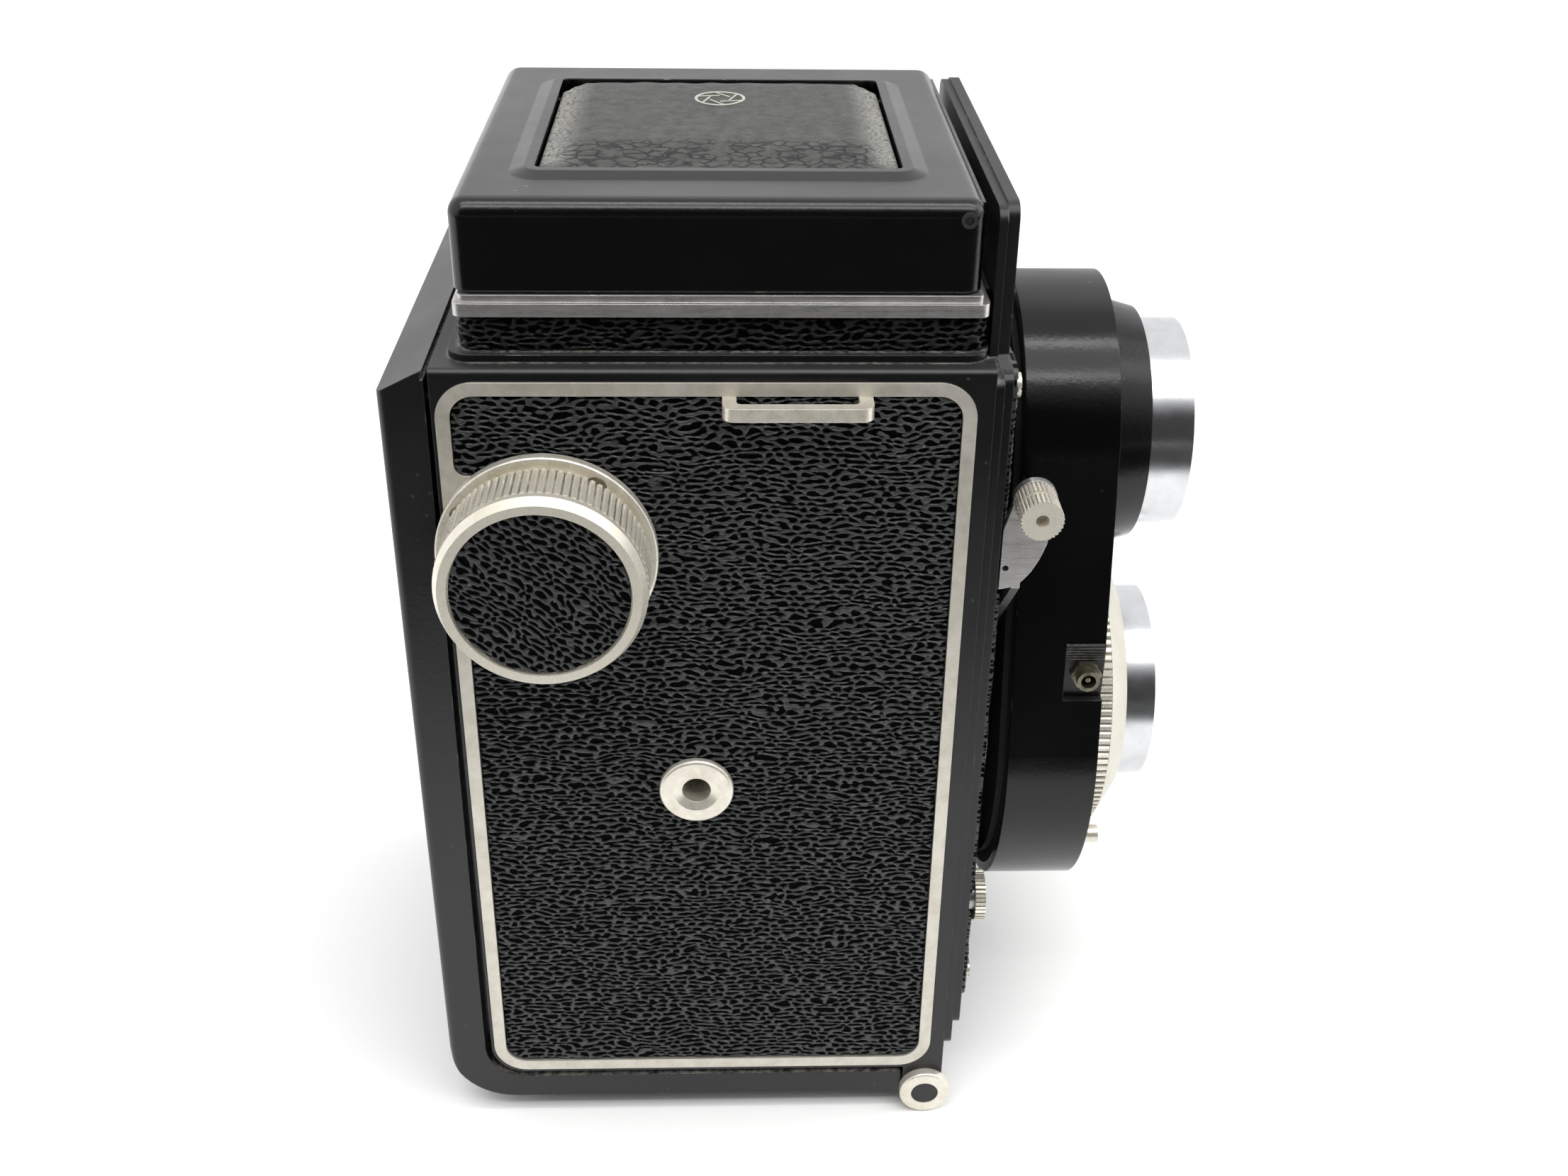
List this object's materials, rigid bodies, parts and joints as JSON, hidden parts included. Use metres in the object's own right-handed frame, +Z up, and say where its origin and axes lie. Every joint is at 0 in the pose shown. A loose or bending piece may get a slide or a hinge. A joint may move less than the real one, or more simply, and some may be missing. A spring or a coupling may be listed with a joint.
{
  "type": "twin lens reflex camera",
  "caption": "Twin lens reflex camera for roll film, with a folding hood, a focusing lens standard, a knob film wind and a back that hinges at the bottom front.",
  "frame": {"origin": "mouth of the tripod socket, in the plane of the body's bottom; the camera stands 3.2 mm lower, on its hinge caps and rear feet", "axes": "+Z up, -Y the way the lenses look, -X the side of the film-winding knob"},
  "size_m": [0.0931, 0.1127, 0.149],
  "materials": {
    "black_paint": "satin",
    "black_inside": "matt",
    "leather": "pebbled, satin",
    "nickel": "satin nickel",
    "bright_rim": "polished, turned",
    "rail_metal": "satin",
    "steel": "plain",
    "brass": "turned",
    "ivory": "satin enamel",
    "lens_glass": "coated",
    "screen_glass": "ground",
    "mirror_glass": "front-silvered",
    "spool_plastic": "moulded"
  },
  "bodies": {
    "body": {"body_shell": "black_paint", "neck_leather": "leather", "hood_rail": "rail_metal", "ground_glass": "screen_glass", "reflex_mirror": "mirror_glass", "light_tunnel": "black_inside", "tripod_socket": "steel", "hinge_pin": "black_paint", "hinge_caps": "nickel", "side_trims": "nickel", "side_leather_left": "leather", "side_leather_right": "leather", "strap_loops": "nickel", "accessory_socket": "nickel", "knob_flange": "nickel", "front_plate": "black_paint", "front_leather": "leather", "front_screws": "nickel", "name_plate": "black_paint", "release_collar": "nickel", "hood_base": "black_inside"},
    "release": {"release_button": "steel"},
    "cover": {"back_cover": "black_paint", "back_leather": "leather", "pressure_springs": "steel"},
    "film_pressure": {"pressure_plate": "black_inside"},
    "latch": {"back_latch": "nickel"},
    "winder": {"winding_knob": "nickel", "knob_disc": "leather", "winding_shaft": "steel", "takeup_spool": "spool_plastic"},
    "supply": {"supply_spool": "spool_plastic"},
    "takeup_pull": {"takeup_holder": "nickel"},
    "supply_pull": {"supply_holder": "nickel"},
    "roller_low": {"film_roller_lower": "steel"},
    "roller_high": {"film_roller_upper": "steel"},
    "standard": {"lens_shroud": "black_paint", "lens_board": "black_paint", "lens_tubes": "black_inside", "viewing_barrel": "black_paint", "viewing_rim": "bright_rim", "viewing_glass": "lens_glass", "shutter_housing": "steel", "scale_dial": "ivory", "taking_rim": "bright_rim", "taking_glass": "lens_glass", "shutter_blades": "black_inside", "pc_plate": "black_paint", "pc_socket": "brass"},
    "speed": {"speed_ring": "nickel"},
    "aperture": {"aperture_lever": "nickel"},
    "focus": {"focus_lever": "rail_metal", "focus_knob": "nickel"},
    "lid": {"hood_lid": "black_paint", "finder_flap": "leather"},
    "hood_left": {"hood_side_left": "black_inside"},
    "hood_right": {"hood_side_right": "black_inside"},
    "hood_back": {"hood_rear": "black_inside"},
    "magnifier": {"magnifier_arm": "black_inside", "magnifier_lens": "lens_glass"}
  },
  "joints": [
    {"name": "winding_knob_turn", "type": "hinge", "parent": "body", "child": "winder", "pos_m": [0, 0.0246, 0.0989], "axis": [-1, 0, 0], "continuous": true},
    {"name": "supply_spool_turn", "type": "hinge", "parent": "body", "child": "supply", "pos_m": [0, 0.02, 0.0149], "axis": [-1, 0, 0], "continuous": true},
    {"name": "lower_roller_turn", "type": "hinge", "parent": "body", "child": "roller_low", "pos_m": [0, 0.0335, 0.022], "axis": [1, 0, 0], "continuous": true},
    {"name": "upper_roller_turn", "type": "hinge", "parent": "body", "child": "roller_high", "pos_m": [0, 0.0335, 0.086], "axis": [1, 0, 0], "continuous": true},
    {"name": "takeup_holder_pull", "type": "slide", "parent": "body", "child": "takeup_pull", "axis": [1, 0, 0], "range_m": [0, 0.006]},
    {"name": "supply_holder_pull", "type": "slide", "parent": "body", "child": "supply_pull", "axis": [1, 0, 0], "range_m": [0, 0.006]},
    {"name": "shutter_release_press", "type": "slide", "parent": "body", "child": "release", "axis": [0, 1, 0], "range_m": [0, 0.0025]},
    {"name": "back_cover_hinge", "type": "hinge", "parent": "body", "child": "cover", "pos_m": [0, -0.0303, 0.0008], "axis": [-1, 0, 0], "range_deg": [0, 100]},
    {"name": "pressure_plate_float", "type": "slide", "parent": "cover", "child": "film_pressure", "axis": [0, 1, 0], "range_m": [0, 0.0008], "deforming": ["pressure_springs"]},
    {"name": "back_latch_slide", "type": "slide", "parent": "cover", "child": "latch", "axis": [0, 0, -1], "range_m": [0, 0.003]},
    {"name": "focus_lever_turn", "type": "hinge", "parent": "body", "child": "focus", "pos_m": [0, -0.0386, 0.054], "axis": [0, -1, 0], "range_deg": [0, 50]},
    {"name": "lens_standard_slide", "type": "slide", "parent": "body", "child": "standard", "axis": [0, -1, 0], "range_m": [0, 0.0078]},
    {"name": "speed_ring_turn", "type": "hinge", "parent": "standard", "child": "speed", "pos_m": [0, -0.056, 0.054], "axis": [0, -1, 0], "range_deg": [-110, 110]},
    {"name": "aperture_lever_turn", "type": "hinge", "parent": "standard", "child": "aperture", "pos_m": [0, -0.0541, 0.054], "axis": [0, -1, 0], "range_deg": [-50, 20]},
    {"name": "hood_lid_hinge", "type": "hinge", "parent": "body", "child": "lid", "pos_m": [0, -0.0286, 0.1429], "axis": [1, 0, 0], "range_deg": [0, 90]},
    {"name": "hood_side_left_hinge", "type": "hinge", "parent": "body", "child": "hood_left", "pos_m": [-0.0324, 0, 0.135], "axis": [0, -1, 0], "range_deg": [0, 90]},
    {"name": "hood_side_right_hinge", "type": "hinge", "parent": "body", "child": "hood_right", "pos_m": [0.0324, 0, 0.135], "axis": [0, 1, 0], "range_deg": [0, 90]},
    {"name": "hood_rear_hinge", "type": "hinge", "parent": "body", "child": "hood_back", "pos_m": [0, 0.0307, 0.1347], "axis": [-1, 0, 0], "range_deg": [0, 90]},
    {"name": "magnifier_hinge", "type": "hinge", "parent": "lid", "child": "magnifier", "pos_m": [0, -0.003, 0.1422], "axis": [-1, 0, 0], "range_deg": [0, 90]}
  ],
  "couplings": [
    {"joint": "focus_lever_turn", "follows": "lens_standard_slide", "rad_per_m": 111.8},
    {"joint": "hood_side_left_hinge", "follows": "hood_lid_hinge", "ratio": 1},
    {"joint": "hood_side_right_hinge", "follows": "hood_lid_hinge", "ratio": 1},
    {"joint": "hood_rear_hinge", "follows": "hood_lid_hinge", "ratio": 1},
    {"joint": "magnifier_hinge", "follows": "hood_lid_hinge", "ratio": 1}
  ]
}
